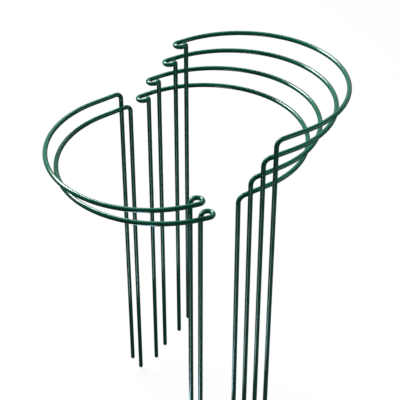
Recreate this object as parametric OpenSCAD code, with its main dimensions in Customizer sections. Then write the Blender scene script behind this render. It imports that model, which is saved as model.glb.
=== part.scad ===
// Set of half-round plant support stakes, made of plastic-coated steel wire.
// Each stake is one bent wire: a leg, a half ring, a hook eye and a second leg.
// Four stakes stand in a stepped nest on the right, and two in a nest on the left.
// The origin is on the plain leg of the lowest right stake, where its rounded tip begins.

/* [Wire] */
// Diameter of the bare steel wire
steel_d = 4; // [2:0.1:6]
// Thickness of the plastic coating
coat_t = 0.5; // [0.3:0.05:1.5]
// Room between the steel and its coating
bond_gap = 0.01; // [0.005:0.005:0.05]
// How much the radius of the wire draws in round its bends
bend_draw = 0.02; // [0.01:0.01:0.1]

/* [Stake] */
// Overall height of one stake, from the leg tips to the top of the ring
stake_h = 400; // [250:5:900]
// Diameter of the half ring at the middle of the wire
ring_d = 220; // [150:5:400]
// Straight run between the plain leg and the start of the half ring
plain_run = 35; // [15:1:80]
// Bend radius where the ring turns down into the plain leg
plain_bend_r = 7; // [4:0.5:14]

/* [Hook eye] */
// Room in the eye beyond one wire, so that the leg of another stake passes through
eye_clearance = 0.8; // [0.2:0.1:3]
// Degrees that the eye closes past a half turn
eye_close = 40; // [0:1:50]
// Straight return of the wire between the eye and the second leg
eye_return = 0.5; // [0.5:0.5:5]
// Bend radius where the return turns down into the second leg
hook_bend_r = 4; // [3:0.5:8]

/* [Right nest] */
// Turn of the right stakes, seen from above
right_yaw = -56.5; // [-90:0.5:-30]
// Turn of the lower two right stakes against the upper two
right_pair_turn = 2; // [0:0.5:4]
// How far short of a half circle the right rings stop
right_short = 0; // [0:0.2:40]
// Straight run between the ring arc and the eye on the right stakes
right_hook_run = 11; // [4:1:30]
// How far each right stake stands behind the one below it, along its straight run
right_along = 10.2; // [8:0.2:20]
// Clear height between one right ring and the next
right_ring_gap = 16.5; // [5:0.5:40]

/* [Left nest] */
// Place of the lowest left stake's plain leg, across
left_x = -115; // [-160:1:-100]
// Place of the lowest left stake's plain leg, in depth
left_y = 175; // [150:1:220]
// Turn of the left stakes, seen from above
left_yaw = 127.5; // [110:0.5:140]
// How far short of a half circle the left rings stop
left_short = 30.8; // [0:0.2:40]
// Straight run between the ring arc and the eye on the left stakes
left_hook_run = 8; // [4:1:30]
// How far each left stake stands behind the one below it, along its straight run
left_along = 8; // [4:0.2:16]
// Clear height between one left ring and the next
left_ring_gap = 11; // [5:0.5:40]

/* [Nesting] */
// Clear gap between a leg and the straight run of the stake below it, before the pair turn
nest_gap = 1; // [0.5:0.1:5]

/* [Hidden] */
wire_d = steel_d + 2 * coat_t;
wire_r = wire_d / 2;
steel_r = steel_d / 2;
// Length by which a straight stretch runs into its bends
lap = 0.05;
ring_r = ring_d / 2;
// Height of the wire's middle in the ring, above the start of the leg tips
ring_z = stake_h - wire_d;
eye_r = wire_d + eye_clearance / 2;
right_sweep = 180 - asin(right_short / ring_r);
left_sweep = 180 - asin(left_short / ring_r);
right_count = 4;
left_count = 2;
right_step = nest_step(right_yaw, right_along, right_ring_gap);
left_step = nest_step(left_yaw, left_along, left_ring_gap);
coating_green = [0.04, 0.26, 0.20];
steel_grey = [0.62, 0.63, 0.64];
$fn = 96;

// Step from one stake of a nest to the one above it
function nest_step(yaw, along, ring_gap) =
    let (across = wire_d + nest_gap)
    [
        across * cos(yaw) - along * sin(yaw),
        across * sin(yaw) + along * cos(yaw),
        wire_d + ring_gap
    ];

// Straight stretch of wire along +Z, run a little way into the bends at its ends
module straight(length, r, room) {
    run_in = lap + room;
    translate([0, 0, -run_in]) cylinder(h = length + 2 * run_in, r = r + room);
}

// Bend of the wire from +Z towards +X, where the wire draws thinner
module bend(radius, angle, r, room) {
    translate([radius, 0, 0])
        rotate([90, 0, 180])
            rotate_extrude(angle = angle)
                translate([radius, 0]) circle(r = r + room - bend_draw);
}

// Round tip of a leg
module tip(r, room) {
    sphere(r = r + room - bend_draw);
}

// Moves to the far end of a straight stretch
module past_straight(length) {
    translate([0, 0, length]) children();
}

// Moves to the far end of a bend
module past_bend(radius, angle) {
    translate([radius, 0, 0])
        rotate([0, angle, 0])
            translate([-radius, 0, 0]) children();
}

// Turns about the wire itself, which sets the side of the next bend
module roll(angle) {
    rotate([0, 0, angle]) children();
}

// Places along the wire, each reached from the one before
module at_plain_bend() {
    past_straight(ring_z - plain_bend_r) roll(90) children();
}

module at_plain_run() {
    at_plain_bend() past_bend(plain_bend_r, 90) children();
}

module at_ring() {
    at_plain_run() past_straight(plain_run - plain_bend_r) roll(90) children();
}

module at_hook_run(sweep) {
    at_ring() past_bend(ring_r, sweep) children();
}

module at_eye(sweep, hook_run) {
    at_hook_run(sweep) past_straight(hook_run) children();
}

module at_eye_return(sweep, hook_run) {
    at_eye(sweep, hook_run) past_bend(eye_r, 180 + eye_close) children();
}

module at_hook_bend(sweep, hook_run) {
    at_eye_return(sweep, hook_run) past_straight(eye_return) roll(-90) children();
}

module at_hook_leg(sweep, hook_run) {
    at_hook_bend(sweep, hook_run) past_bend(hook_bend_r, 90) children();
}

// One bent wire of radius r: plain leg, half ring, hook eye and second leg, from tip to tip.
// The room makes it larger all over, for the hollow that such a wire lies in.
module bent_wire(sweep, hook_run, r, room = 0) {
    tip(r, room);
    straight(ring_z - plain_bend_r, r, room);
    at_plain_bend() bend(plain_bend_r, 90, r, room);
    at_plain_run() straight(plain_run - plain_bend_r, r, room);
    at_ring() bend(ring_r, sweep, r, room);
    at_hook_run(sweep) straight(hook_run, r, room);
    at_eye(sweep, hook_run) bend(eye_r, 180 + eye_close, r, room);
    at_eye_return(sweep, hook_run) straight(eye_return, r, room);
    at_hook_bend(sweep, hook_run) bend(hook_bend_r, 90, r, room);
    at_hook_leg(sweep, hook_run) {
        straight(ring_z - hook_bend_r, r, room);
        past_straight(ring_z - hook_bend_r) tip(r, room);
    }
}

// Steel core of a stake
module wire(sweep, hook_run) {
    color(steel_grey) bent_wire(sweep, hook_run, steel_r);
}

// Plastic coating of a stake, hollow where the steel runs
module coating(sweep, hook_run) {
    color(coating_green)
        difference() {
            bent_wire(sweep, hook_run, wire_r);
            bent_wire(sweep, hook_run, steel_r, bond_gap);
        }
}

// Place in the right nest, counted from the top
module right_place(k) {
    turn = right_pair_turn * (k > right_count / 2 ? 0.5 : -0.5);
    translate((right_count - k) * right_step) rotate([0, 0, right_yaw + turn]) children();
}

// Place in the left nest, counted from the top
module left_place(k) {
    translate([left_x, left_y, 0] + (left_count - k) * left_step) rotate([0, 0, left_yaw]) children();
}

module right_wire(k) {
    right_place(k) wire(right_sweep, right_hook_run);
}

module right_coating(k) {
    right_place(k) coating(right_sweep, right_hook_run);
}

module left_wire(k) {
    left_place(k) wire(left_sweep, left_hook_run);
}

module left_coating(k) {
    left_place(k) coating(left_sweep, left_hook_run);
}

for (k = [1 : right_count]) {
    right_wire(k);
    right_coating(k);
}
for (k = [1 : left_count]) {
    left_wire(k);
    left_coating(k);
}
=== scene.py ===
"""Looks of the half-round plant support stakes: coated wire, floor, light and camera."""

import math

import bpy
from mathutils import Matrix, Vector


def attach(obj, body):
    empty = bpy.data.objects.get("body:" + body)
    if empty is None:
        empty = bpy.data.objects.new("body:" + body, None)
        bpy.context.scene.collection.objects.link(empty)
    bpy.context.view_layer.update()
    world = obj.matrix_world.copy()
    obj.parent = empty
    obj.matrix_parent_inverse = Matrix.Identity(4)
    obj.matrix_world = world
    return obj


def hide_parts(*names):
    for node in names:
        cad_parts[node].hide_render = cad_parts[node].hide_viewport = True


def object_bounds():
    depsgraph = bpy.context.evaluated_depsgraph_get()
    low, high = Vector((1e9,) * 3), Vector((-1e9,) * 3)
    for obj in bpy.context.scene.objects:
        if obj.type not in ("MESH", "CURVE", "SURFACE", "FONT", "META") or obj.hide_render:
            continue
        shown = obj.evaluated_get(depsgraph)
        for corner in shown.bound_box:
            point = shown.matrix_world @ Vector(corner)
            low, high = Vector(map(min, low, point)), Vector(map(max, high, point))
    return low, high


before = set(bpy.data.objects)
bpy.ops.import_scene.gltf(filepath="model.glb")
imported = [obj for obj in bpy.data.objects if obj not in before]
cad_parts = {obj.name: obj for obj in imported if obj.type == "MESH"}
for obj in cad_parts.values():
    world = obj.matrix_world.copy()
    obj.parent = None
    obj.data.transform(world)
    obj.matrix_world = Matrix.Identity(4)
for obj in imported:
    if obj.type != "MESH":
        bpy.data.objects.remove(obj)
cad_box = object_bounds()

MM = 0.001

# Driving sizes of a stake, the same as in the construction; turns are in degrees
WIRE_D = 5 * MM
STAKE_H = 400 * MM
RING_D = 220 * MM
PLAIN_RUN = 35 * MM
PLAIN_BEND_R = 7 * MM
EYE_CLEARANCE = 0.8 * MM
EYE_CLOSE = 40
EYE_RETURN = 0.5 * MM
HOOK_BEND_R = 4 * MM
NEST_GAP = 1 * MM

# Sizes that follow from them; the height is that of the ring above the start of the leg tips
QUARTER_TURN = 90
HALF_TURN = 180
WIRE_R = WIRE_D / 2
RING_R = RING_D / 2
RING_Z = STAKE_H - WIRE_D
EYE_R = WIRE_D + EYE_CLEARANCE / 2
EYE_TURN = HALF_TURN + EYE_CLOSE
NEST_ACROSS = WIRE_D + NEST_GAP

# Each nest: turn, turn of its lower half against the upper, how far its rings stop short,
# run to the eye, step behind, clear height between two rings, place of the lowest stake's
# plain leg and count
NESTS = {
    "right": dict(yaw=-56.5, pair_turn=2, short=0, hook_run=11 * MM, along=10.2 * MM,
                  ring_gap=16.5 * MM, leg=(0, 0), count=4),
    "left": dict(yaw=127.5, pair_turn=0, short=30.8 * MM, hook_run=8 * MM, along=8 * MM,
                 ring_gap=11 * MM, leg=(-115 * MM, 175 * MM), count=2),
}

# How finely the wire is drawn: length of a step on the legs, degrees of a step in the bends
# and in the ring, steps on the short stretches, and sides of the round wire
LEG_STEP = 4 * MM
BEND_STEP = 5
RING_STEP = 1.5
TIP_STEPS = 8
PLAIN_RUN_STEPS = 7
HOOK_RUN_STEPS = 4
RETURN_STEPS = 2
ROUND_SEGMENTS = 32
# Share of the wire's radius that is left at the very end of a tip
TIP_END = 0.05

# Skin of the coating: how deep its unevenness goes at most, and how fine it is
SKIN_DEPTH = 0.02 * MM
SKIN_LUMPS_PER_METRE = 160.0

# Noise of the finishes: scale, layers of detail and weight of the finer layers
SKIN_LUMPS = dict(detail=2.0, roughness=0.5)
MOTTLE = dict(scale=60, detail=3)
DRAW_LINES = dict(scale=5, detail=4, roughness=0.6)
SCRATCHES = dict(scale=500, detail=5, roughness=0.7)
RUBS = dict(scale=220, detail=6, roughness=0.65)
STEEL_STREAKS = dict(scale=900, detail=4)
FLOOR_SPECKS = dict(scale=30, detail=2)
# Noise values between which a colour goes from its first tone to its second
TONE_SPAN = (0.3, 0.7)

# Plastic coating
DEEP_GREEN = (0.002, 0.112, 0.060)
LIGHT_GREEN = (0.004, 0.145, 0.080)
SCUFFED_GREEN = (0.030, 0.110, 0.075)
# Units of the draw lines' pattern to a metre of wire; across, the wire's radius is one unit
DRAW_LINE_UNITS_PER_METRE = 12
DRAW_LINE_STRENGTH = 0.03
DRAW_LINE_DEPTH = 0.2 * MM
# How far up a leg the scuffs go, how much of the green they take, and how dull they are
SCUFF_REACH = 40 * MM
SCUFF_MOST = 0.75
SCUFF_DULLNESS = 0.4
# Noise values between which the coating goes from clean to rubbed, and its gloss
RUB_SPAN = (0.45, 0.75)
COATING_ROUGHNESS = (0.11, 0.20)
COATING_IOR = 1.45
COATING_SPECULAR = 0.36

# Steel
DARK_STEEL = (0.55, 0.56, 0.57)
LIGHT_STEEL = (0.68, 0.69, 0.70)
STEEL_ROUGHNESS = (0.28, 0.45)

# Floor: its two whites, the grey by which it lights the stakes, and its half width
FLOOR_WHITE = (0.90, 0.90, 0.90)
FLOOR_WHITER = (0.92, 0.92, 0.92)
FLOOR_BOUNCE = (0.12, 0.12, 0.12, 1)
FLOOR_ROUGHNESS = 0.9
FLOOR_HALF = 6.0
# How far the floor is dimmed in the gloss, from in front of the stakes to under their middle
FRONT_TO_MIDDLE = (-0.10, 0.12)
FLOOR_GLOSS_DIMMING = (0.8, 0.97)
# Share of plain white in the floor, from near the stakes to far away
NEAR_TO_FAR = (0.6, 2.5)
FLOOR_GLOW = (0.9, 1.0)

# Light: where the lamps are aimed, the way of the strip's long side, and the lamps' colours
OBJECT_MIDDLE = (-0.03, 0.09, 0.3)
RIGHT_RUNS = (0.05, 0.04, 0.38)
STRIP_WAY = (-0.83, -0.55, -0.13)
FLOOR_CARD_PLACE = (-0.16, -0.27, 0.004)
ABOVE_FLOOR_CARD = (-0.16, -0.27, 1)
NEUTRAL = (1, 1, 1)
WARM = (1.0, 0.99, 0.95)
COOL = (0.7, 1.0, 1.0)
COOLER = (0.6, 0.9, 1.0)
BLUISH = (0.55, 0.9, 1.0)

# Backdrop: the little light that it gives, the way to the camera, and how far it is dimmed in
# the gloss, from behind the stakes to the camera's side
FILL_COLOUR = (0.45, 0.75, 1, 1)
FILL_STRENGTH = 0.11
TO_CAMERA_SIDE = (0, -0.81, 0.58)
BACKDROP_BACK_TO_FRONT = (-0.7, 0.3)
BACKDROP_GLOSS_DIMMING = (0.0, 0.92)

# Camera, level across: its place, how many degrees it is pitched down, and its lens in mm
CAMERA_PLACE = (-0.0378, -0.9209, 1.0526)
CAMERA_PITCH = 35.66
SENSOR_WIDTH = 36
LENS = 103.5


def add(tree, kind, place, inputs=None, **settings):
    """A node of a tree, with its settings and its constant inputs."""
    node = tree.nodes.new(kind)
    node.location = place
    for name, value in settings.items():
        setattr(node, name, value)
    for name, value in (inputs or {}).items():
        node.inputs[name].default_value = value
    return node


def math_node(tree, operation, place, *values, clamp=False):
    """The result of a Math node whose inputs are numbers or sockets."""
    node = add(tree, "ShaderNodeMath", place, operation=operation, use_clamp=clamp)
    for socket, value in zip(node.inputs, values):
        if isinstance(value, (int, float)):
            socket.default_value = value
        else:
            tree.links.new(value, socket)
    return node.outputs[0]


def map_range(tree, value, place, start, end):
    """A value carried over from one range to another, and held at its ends."""
    node = add(tree, "ShaderNodeMapRange", place,
               inputs={"From Min": start[0], "From Max": start[1],
                       "To Min": end[0], "To Max": end[1]})
    tree.links.new(value, node.inputs["Value"])
    return node.outputs[0]


def noise_on(tree, coordinates, place, scale, detail, roughness=0.5):
    """Noise over the given coordinates."""
    node = add(tree, "ShaderNodeTexNoise", place,
               inputs={"Scale": scale, "Detail": detail, "Roughness": roughness})
    tree.links.new(coordinates, node.inputs["Vector"])
    return node.outputs[0]


def two_tone(tree, noise, place, first, second):
    """A colour between two tones, by a noise."""
    node = add(tree, "ShaderNodeValToRGB", place)
    for mark, position, colour in zip(node.color_ramp.elements, TONE_SPAN, (first, second)):
        mark.position = position
        mark.color = (*colour, 1)
    tree.links.new(noise, node.inputs[0])
    return node.outputs[0]


def mixed_colour(tree, place, share, colour, constant):
    """A colour that goes over to a constant one by a share."""
    node = add(tree, "ShaderNodeMix", place, data_type="RGBA")
    node.inputs["B"].default_value = constant
    tree.links.new(share, node.inputs["Factor"])
    tree.links.new(colour, node.inputs["A"])
    return node.outputs["Result"]


def attribute(tree, name, place, output):
    """A value that the sweep has stored on the coating."""
    return add(tree, "ShaderNodeAttribute", place, attribute_name=name).outputs[output]


def seen_directly_or_in_gloss(tree, rays, x, y):
    """One for rays from the camera, off gloss or through glass, and zero for others."""
    seen = math_node(tree, "MAXIMUM", (x, y),
                     rays.outputs["Is Camera Ray"], rays.outputs["Is Glossy Ray"])
    return math_node(tree, "MAXIMUM", (x + 150, y), seen, rays.outputs["Is Transmission Ray"])


class Bender:
    """Walks along the middle of a wire as it is bent, and keeps the points on the way."""

    def __init__(self, start):
        self.place = start
        self.points = []
        self.mark()

    def mark(self):
        """Keeps the point reached."""
        self.points.append(self.place.to_translation())

    def straight(self, length, steps):
        """Goes straight on."""
        for _ in range(steps):
            self.place = self.place @ Matrix.Translation((0, 0, length / steps))
            self.mark()

    def bend(self, radius, angle, step):
        """Goes round a bend, in steps of at most the degrees given."""
        count = math.ceil(angle / step)
        out = Matrix.Translation((radius, 0, 0))
        back = Matrix.Translation((-radius, 0, 0))
        turn = out @ Matrix.Rotation(math.radians(angle / count), 4, "Y") @ back
        for _ in range(count):
            self.place = self.place @ turn
            self.mark()

    def roll(self, angle):
        """Turns about the wire itself, which sets the side of the next bend."""
        self.place = self.place @ Matrix.Rotation(math.radians(angle), 4, "Z")


def wire_points(start, short, hook_run):
    """The middle of one stake's wire, from the plain leg's tip to the hook leg's tip."""
    bender = Bender(start @ Matrix.Translation((0, 0, -WIRE_R)))
    sweep = HALF_TURN - math.degrees(math.asin(short / RING_R))
    plain_leg = RING_Z - PLAIN_BEND_R
    hook_leg = RING_Z - HOOK_BEND_R
    bender.straight(WIRE_R, TIP_STEPS)
    bender.straight(plain_leg, math.ceil(plain_leg / LEG_STEP))
    bender.roll(QUARTER_TURN)
    bender.bend(PLAIN_BEND_R, QUARTER_TURN, BEND_STEP)
    bender.straight(PLAIN_RUN - PLAIN_BEND_R, PLAIN_RUN_STEPS)
    bender.roll(QUARTER_TURN)
    bender.bend(RING_R, sweep, RING_STEP)
    bender.straight(hook_run, HOOK_RUN_STEPS)
    bender.bend(EYE_R, EYE_TURN, BEND_STEP)
    bender.straight(EYE_RETURN, RETURN_STEPS)
    bender.roll(-QUARTER_TURN)
    bender.bend(HOOK_BEND_R, QUARTER_TURN, BEND_STEP)
    bender.straight(hook_leg, math.ceil(hook_leg / LEG_STEP))
    bender.straight(WIRE_R, TIP_STEPS)
    return bender.points


def stake_start(nest, k):
    """Where the k-th stake of a nest, counted from the top, begins at its plain leg."""
    yaw = math.radians(nest["yaw"])
    cosine = math.cos(yaw)
    sine = math.sin(yaw)
    steps = nest["count"] - k
    x = nest["leg"][0] + steps * (NEST_ACROSS * cosine - nest["along"] * sine)
    y = nest["leg"][1] + steps * (NEST_ACROSS * sine + nest["along"] * cosine)
    z = steps * (WIRE_D + nest["ring_gap"])
    place = Matrix.Translation((x, y, z))
    half_turn = nest["pair_turn"] / 2
    turn = half_turn if k > nest["count"] / 2 else -half_turn
    return place @ Matrix.Rotation(yaw + math.radians(turn), 4, "Z")


def coated_wire_tree():
    """Sweeps a round coating along a line of points, with round tips and an uneven skin."""
    tree = bpy.data.node_groups.new("coated_wire", "GeometryNodeTree")
    interface = tree.interface
    interface.new_socket("Geometry", in_out="INPUT", socket_type="NodeSocketGeometry")
    for name, kind in (("Radius", "NodeSocketFloat"), ("Segments", "NodeSocketInt"),
                       ("Unevenness", "NodeSocketFloat"), ("Lumps per metre", "NodeSocketFloat"),
                       ("Material", "NodeSocketMaterial")):
        interface.new_socket(name, in_out="INPUT", socket_type=kind)
    interface.new_socket("Geometry", in_out="OUTPUT", socket_type="NodeSocketGeometry")
    link = tree.links.new
    start = add(tree, "NodeGroupInput", (-1200, 0))
    radius = start.outputs["Radius"]

    curve = add(tree, "GeometryNodeMeshToCurve", (-1000, 0))
    link(start.outputs["Geometry"], curve.inputs[0])

    # Distance to the nearer tip, in radii, and the round end that it gives
    along = add(tree, "GeometryNodeSplineParameter", (-1000, -300)).outputs["Length"]
    whole = add(tree, "GeometryNodeSplineLength", (-1000, -450)).outputs["Length"]
    to_far = math_node(tree, "SUBTRACT", (-800, -400), whole, along)
    to_tip = math_node(tree, "MINIMUM", (-640, -340), along, to_far)
    in_radii = math_node(tree, "DIVIDE", (-480, -340), to_tip, radius, clamp=True)
    missing = math_node(tree, "SUBTRACT", (-320, -340), 1, in_radii)
    square = math_node(tree, "MULTIPLY", (-160, -340), missing, missing)
    rest = math_node(tree, "SUBTRACT", (0, -340), 1, square)
    rounded = math_node(tree, "SQRT", (160, -340), rest)
    kept = math_node(tree, "MAXIMUM", (320, -340), rounded, TIP_END)
    scale = math_node(tree, "MULTIPLY", (480, -340), kept, radius)

    # The material reads these: length along the wire, distance to the nearer tip, and side
    kept_line = curve.outputs[0]
    for i, (name, value) in enumerate((("along", along), ("to_tip", to_tip))):
        stored = add(tree, "GeometryNodeStoreNamedAttribute", (-700 + 200 * i, 0),
                     data_type="FLOAT", inputs={"Name": name})
        link(kept_line, stored.inputs["Geometry"])
        link(value, stored.inputs["Value"])
        kept_line = stored.outputs[0]
    profile = add(tree, "GeometryNodeCurvePrimitiveCircle", (240, -160), inputs={"Radius": 1.0})
    link(start.outputs["Segments"], profile.inputs["Resolution"])
    sides = add(tree, "GeometryNodeStoreNamedAttribute", (420, -160),
                data_type="FLOAT_VECTOR", inputs={"Name": "side"})
    link(profile.outputs[0], sides.inputs["Geometry"])
    link(add(tree, "GeometryNodeInputPosition", (240, -240)).outputs[0], sides.inputs["Value"])

    sized = add(tree, "GeometryNodeSetCurveRadius", (600, 0))
    link(kept_line, sized.inputs["Curve"])
    link(scale, sized.inputs["Radius"])
    sweep = add(tree, "GeometryNodeCurveToMesh", (800, 0), inputs={"Fill Caps": True})
    link(sized.outputs[0], sweep.inputs["Curve"])
    link(sides.outputs[0], sweep.inputs["Profile Curve"])
    link(add(tree, "GeometryNodeInputRadius", (600, 160)).outputs[0], sweep.inputs["Scale"])

    # Only inwards, so that the skin stays within the wire's real size
    where = add(tree, "GeometryNodeInputPosition", (800, -300)).outputs[0]
    noise = add(tree, "ShaderNodeTexNoise", (960, -300),
                inputs={"Detail": SKIN_LUMPS["detail"], "Roughness": SKIN_LUMPS["roughness"]})
    link(where, noise.inputs["Vector"])
    link(start.outputs["Lumps per metre"], noise.inputs["Scale"])
    depth = math_node(tree, "MULTIPLY", (1120, -300),
                      noise.outputs[0], start.outputs["Unevenness"])
    inwards = math_node(tree, "MULTIPLY", (1280, -300), depth, -1)
    normal = add(tree, "GeometryNodeInputNormal", (1120, -440)).outputs[0]
    shift = add(tree, "ShaderNodeVectorMath", (1440, -300), operation="SCALE")
    link(normal, shift.inputs[0])
    link(inwards, shift.inputs["Scale"])
    moved = add(tree, "GeometryNodeSetPosition", (1600, 0))
    link(sweep.outputs[0], moved.inputs["Geometry"])
    link(shift.outputs[0], moved.inputs["Offset"])

    smooth = add(tree, "GeometryNodeSetShadeSmooth", (1760, 0))
    link(moved.outputs[0], smooth.inputs[0])
    real = add(tree, "GeometryNodeRealizeInstances", (1920, 0))
    link(smooth.outputs[0], real.inputs[0])
    dressed = add(tree, "GeometryNodeSetMaterial", (2080, 0))
    link(real.outputs[0], dressed.inputs["Geometry"])
    link(start.outputs["Material"], dressed.inputs["Material"])
    end = add(tree, "NodeGroupOutput", (2240, 0))
    link(dressed.outputs[0], end.inputs[0])
    return tree


def new_material(name):
    """A material with a Principled shader on its output, and both nodes."""
    mat = bpy.data.materials.new(name)
    mat.use_nodes = True
    tree = mat.node_tree
    tree.nodes.clear()
    out = add(tree, "ShaderNodeOutputMaterial", (700, 0))
    shader = add(tree, "ShaderNodeBsdfPrincipled", (300, 0))
    tree.links.new(shader.outputs[0], out.inputs["Surface"])
    return mat, shader, out


def green_coating():
    """Semi-gloss dark green plastic: faint draw lines, dull rubs and scuffed tips."""
    mat, shader, _ = new_material("green_coating")
    tree = mat.node_tree
    link = tree.links.new
    object_place = add(tree, "ShaderNodeTexCoord", (-1300, 0)).outputs["Object"]
    mottle = noise_on(tree, object_place, (-650, 300), **MOTTLE)
    clean_green = two_tone(tree, mottle, (-400, 300), DEEP_GREEN, LIGHT_GREEN)

    # Tips that have been in the ground are scuffed to another green, and duller
    near_tip = map_range(tree, attribute(tree, "to_tip", (-1500, 550), "Fac"), (-650, 550),
                         (0.0, SCUFF_REACH), (SCUFF_MOST, 0.0))
    scratches = noise_on(tree, object_place, (-900, 500), **SCRATCHES)
    worn = math_node(tree, "MULTIPLY", (-400, 550), near_tip, scratches)
    green = mixed_colour(tree, (-100, 300), worn, clean_green, (*SCUFFED_GREEN, 1))
    link(green, shader.inputs["Base Color"])

    rubs = noise_on(tree, object_place, (-650, -50), **RUBS)
    clean_roughness = map_range(tree, rubs, (-400, -50), RUB_SPAN, COATING_ROUGHNESS)
    duller = math_node(tree, "MULTIPLY", (-250, 50), worn, SCUFF_DULLNESS)
    roughness = math_node(tree, "ADD", (-100, 0), clean_roughness, duller)
    link(roughness, shader.inputs["Roughness"])

    # Place on the skin of the straightened wire: the side across, and the length drawn out
    along = attribute(tree, "along", (-1500, -500), "Fac")
    drawn_out = math_node(tree, "MULTIPLY", (-1300, -500), along, DRAW_LINE_UNITS_PER_METRE)
    length = add(tree, "ShaderNodeCombineXYZ", (-1100, -500))
    link(drawn_out, length.inputs["Z"])
    skin = add(tree, "ShaderNodeVectorMath", (-900, -400), operation="ADD")
    link(attribute(tree, "side", (-1500, -300), "Vector"), skin.inputs[0])
    link(length.outputs[0], skin.inputs[1])
    lines = noise_on(tree, skin.outputs[0], (-650, -350), **DRAW_LINES)
    bump = add(tree, "ShaderNodeBump", (-100, -300),
               inputs={"Strength": DRAW_LINE_STRENGTH, "Distance": DRAW_LINE_DEPTH})
    link(lines, bump.inputs["Height"])
    link(bump.outputs[0], shader.inputs["Normal"])

    shader.inputs["IOR"].default_value = COATING_IOR
    shader.inputs["Specular IOR Level"].default_value = COATING_SPECULAR
    return mat


def drawn_steel():
    """Bare drawn wire under the coating."""
    mat, shader, _ = new_material("drawn_steel")
    tree = mat.node_tree
    link = tree.links.new
    object_place = add(tree, "ShaderNodeTexCoord", (-900, 0)).outputs["Object"]
    streaks = noise_on(tree, object_place, (-650, 100), **STEEL_STREAKS)
    grey = two_tone(tree, streaks, (-400, 100), DARK_STEEL, LIGHT_STEEL)
    link(grey, shader.inputs["Base Color"])
    roughness = map_range(tree, streaks, (-400, -150), (0.0, 1.0), STEEL_ROUGHNESS)
    link(roughness, shader.inputs["Roughness"])
    shader.inputs["Metallic"].default_value = 1.0
    return mat


def pale_floor():
    """White to the camera, and still a floor that takes the stakes' faint shadows."""
    mat, shader, out = new_material("pale_floor")
    tree = mat.node_tree
    link = tree.links.new
    object_place = add(tree, "ShaderNodeTexCoord", (-900, 0)).outputs["Object"]
    rays = add(tree, "ShaderNodeLightPath", (-400, 300))
    specks = noise_on(tree, object_place, (-650, 100), **FLOOR_SPECKS)
    white = two_tone(tree, specks, (-400, 100), FLOOR_WHITE, FLOOR_WHITER)
    tone = mixed_colour(tree, (-100, 150), rays.outputs["Is Diffuse Ray"], white, FLOOR_BOUNCE)
    link(tone, shader.inputs["Base Color"])
    shader.inputs["Roughness"].default_value = FLOOR_ROUGHNESS
    shader.inputs["Specular IOR Level"].default_value = 0.0

    # What gloss sees of the floor is dim, and dimmest behind
    depth = add(tree, "ShaderNodeSeparateXYZ", (-650, -300))
    link(object_place, depth.inputs[0])
    dimming = map_range(tree, depth.outputs["Y"], (-400, -300),
                        FRONT_TO_MIDDLE, FLOOR_GLOSS_DIMMING)
    dimmed = math_node(tree, "MULTIPLY", (-200, -300), dimming, rays.outputs["Is Glossy Ray"])
    glow = add(tree, "ShaderNodeEmission", (300, -300), inputs={"Color": (1, 1, 1, 1)})
    link(math_node(tree, "SUBTRACT", (0, -300), 1, dimmed), glow.inputs["Strength"])

    # The floor goes over into the white backdrop away from the stakes
    away = add(tree, "ShaderNodeVectorMath", (-650, 500), operation="LENGTH")
    link(object_place, away.inputs[0])
    whiter = map_range(tree, away.outputs["Value"], (-400, 550), NEAR_TO_FAR, FLOOR_GLOW)
    seen = seen_directly_or_in_gloss(tree, rays, -100, 400)
    share = math_node(tree, "MULTIPLY", (200, 300), seen, whiter)
    mix = add(tree, "ShaderNodeMixShader", (500, 100))
    link(share, mix.inputs[0])
    link(shader.outputs[0], mix.inputs[1])
    link(glow.outputs[0], mix.inputs[2])
    link(mix.outputs[0], out.inputs["Surface"])
    return mat


def make_coating(name, points, tree, material):
    """One stake's coating as a plain mesh."""
    line = bpy.data.meshes.new(name + "_line")
    line.from_pydata(points, [(i, i + 1) for i in range(len(points) - 1)], [])
    source = bpy.data.objects.new(name + "_line", line)
    bpy.context.scene.collection.objects.link(source)
    modifier = source.modifiers.new("coated_wire", "NODES")
    modifier.node_group = tree
    values = {"Radius": WIRE_R, "Segments": ROUND_SEGMENTS, "Unevenness": SKIN_DEPTH,
              "Lumps per metre": SKIN_LUMPS_PER_METRE, "Material": material}
    for item in tree.interface.items_tree:
        if item.in_out == "INPUT" and item.name in values:
            modifier[item.identifier] = values[item.name]
    depsgraph = bpy.context.evaluated_depsgraph_get()
    mesh = bpy.data.meshes.new_from_object(source.evaluated_get(depsgraph))
    mesh.name = name
    source.modifiers.remove(modifier)
    bpy.data.objects.remove(source)
    bpy.data.meshes.remove(line)
    piece = bpy.data.objects.new(name, mesh)
    bpy.context.scene.collection.objects.link(piece)
    return piece


def make_floor(height):
    """The square floor under the stakes."""
    low, high = -FLOOR_HALF, FLOOR_HALF
    corners = [(low, low), (high, low), (high, high), (low, high)]
    mesh = bpy.data.meshes.new("floor")
    mesh.from_pydata([(x, y, height) for x, y in corners], [], [(0, 1, 2, 3)])
    mesh.materials.append(pale_floor())
    piece = bpy.data.objects.new("floor", mesh)
    bpy.context.scene.collection.objects.link(piece)
    return piece


def area_light(name, place, aim, size, long_side, watts, colour, gloss_only=False):
    """A rectangular lamp that the camera doesn't see, with its long side the way given.

    One that is for gloss only shows in reflections and doesn't light what is dull.
    """
    lamp = bpy.data.lights.new(name, "AREA")
    lamp.shape = "RECTANGLE"
    lamp.size, lamp.size_y = size
    lamp.energy = watts
    lamp.color = colour
    obj = bpy.data.objects.new(name, lamp)
    back = (Vector(place) - Vector(aim)).normalized()
    across = back.cross(Vector(long_side)).normalized()
    along = across.cross(back)
    turn = Matrix((along, across, back)).transposed()
    obj.matrix_world = Matrix.Translation(place) @ turn.to_4x4()
    obj.visible_camera = False
    obj.visible_diffuse = not gloss_only
    bpy.context.scene.collection.objects.link(obj)


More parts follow.
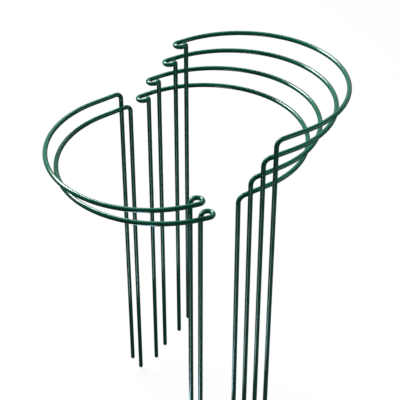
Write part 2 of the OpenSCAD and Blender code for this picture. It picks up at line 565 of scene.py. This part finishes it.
def make_backdrop():
    """A world that is white to the camera and gives the stakes only a little bluish light."""
    world = bpy.data.worlds.new("studio")
    bpy.context.scene.world = world
    world.use_nodes = True
    sky = world.node_tree
    link = sky.links.new
    sky.nodes.clear()
    out = add(sky, "ShaderNodeOutputWorld", (600, 0))
    fill = add(sky, "ShaderNodeBackground", (0, 100),
               inputs={"Color": FILL_COLOUR, "Strength": FILL_STRENGTH})
    white = add(sky, "ShaderNodeBackground", (0, -100), inputs={"Color": (1, 1, 1, 1)})
    rays = add(sky, "ShaderNodeLightPath", (-500, 300))

    # What gloss sees of the studio is dark on the camera's side
    direction = add(sky, "ShaderNodeTexCoord", (-800, -200)).outputs["Generated"]
    to_front = add(sky, "ShaderNodeVectorMath", (-600, -200), operation="DOT_PRODUCT")
    to_front.inputs[1].default_value = TO_CAMERA_SIDE
    link(direction, to_front.inputs[0])
    dimming = map_range(sky, to_front.outputs["Value"], (-400, -200),
                        BACKDROP_BACK_TO_FRONT, BACKDROP_GLOSS_DIMMING)
    dimmed = math_node(sky, "MULTIPLY", (-200, -200), dimming, rays.outputs["Is Glossy Ray"])
    link(math_node(sky, "SUBTRACT", (-100, -200), 1, dimmed), white.inputs["Strength"])

    mix = add(sky, "ShaderNodeMixShader", (300, 0))
    link(seen_directly_or_in_gloss(sky, rays, -200, 300), mix.inputs[0])
    link(fill.outputs[0], mix.inputs[1])
    link(white.outputs[0], mix.inputs[2])
    link(mix.outputs[0], out.inputs["Surface"])


def make_camera():
    """The scene's camera, at the photograph's viewing angle."""
    lens = bpy.data.cameras.new("camera")
    lens.sensor_width = SENSOR_WIDTH
    lens.lens = LENS
    camera = bpy.data.objects.new("camera", lens)
    camera.location = CAMERA_PLACE
    camera.rotation_euler = (math.radians(QUARTER_TURN - CAMERA_PITCH), 0, 0)
    bpy.context.scene.collection.objects.link(camera)
    bpy.context.scene.camera = camera


green_plastic = green_coating()
steel = drawn_steel()
sweep_tree = coated_wire_tree()

for side, nest in NESTS.items():
    for k in range(1, nest["count"] + 1):
        points = wire_points(stake_start(nest, k), nest["short"], nest["hook_run"])
        coating = make_coating(f"{side}_stake_{k}_coating", points, sweep_tree, green_plastic)
        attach(coating, f"{side}_stake_{k}")
        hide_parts(f"{side}_coating_{k}")
        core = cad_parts[f"{side}_wire_{k}"]
        core.data.materials.clear()
        core.data.materials.append(steel)

# Floor at the lowest leg tips
floor = make_floor(cad_box[0].z)

# Studio light: a strip above on the left, a little behind, and at its back a longer and slimmer
# card that only shows as white streaks in the gloss
area_light("key_strip", place=(-0.78, 0.94, 1.52), aim=OBJECT_MIDDLE, size=(1.2, 0.45),
           long_side=STRIP_WAY, watts=48, colour=WARM)
area_light("glint_card", place=(-0.79, 0.95, 1.535), aim=OBJECT_MIDDLE, size=(2.2, 0.3),
           long_side=STRIP_WAY, watts=22, colour=NEUTRAL, gloss_only=True)
# A weak panel in front, and a small one close by on the right for the straight runs there
area_light("front_panel", place=(-0.15, -1.6, 1.0), aim=OBJECT_MIDDLE, size=(0.9, 0.5),
           long_side=(1, 0, 0), watts=0.6, colour=COOL)
area_light("right_panel", place=(0.65, -0.1, 0.5), aim=RIGHT_RUNS, size=(0.4, 0.25),
           long_side=(0, 1, 0), watts=1.4, colour=COOLER)
# A card on the floor in front, turned up, that only shows as a bright line in the legs' gloss
area_light("floor_card", place=FLOOR_CARD_PLACE, aim=ABOVE_FLOOR_CARD, size=(0.62, 0.08),
           long_side=(0, 1, 0), watts=2.0, colour=BLUISH, gloss_only=True)
make_backdrop()

make_camera()
bpy.context.scene.view_settings.view_transform = "Standard"
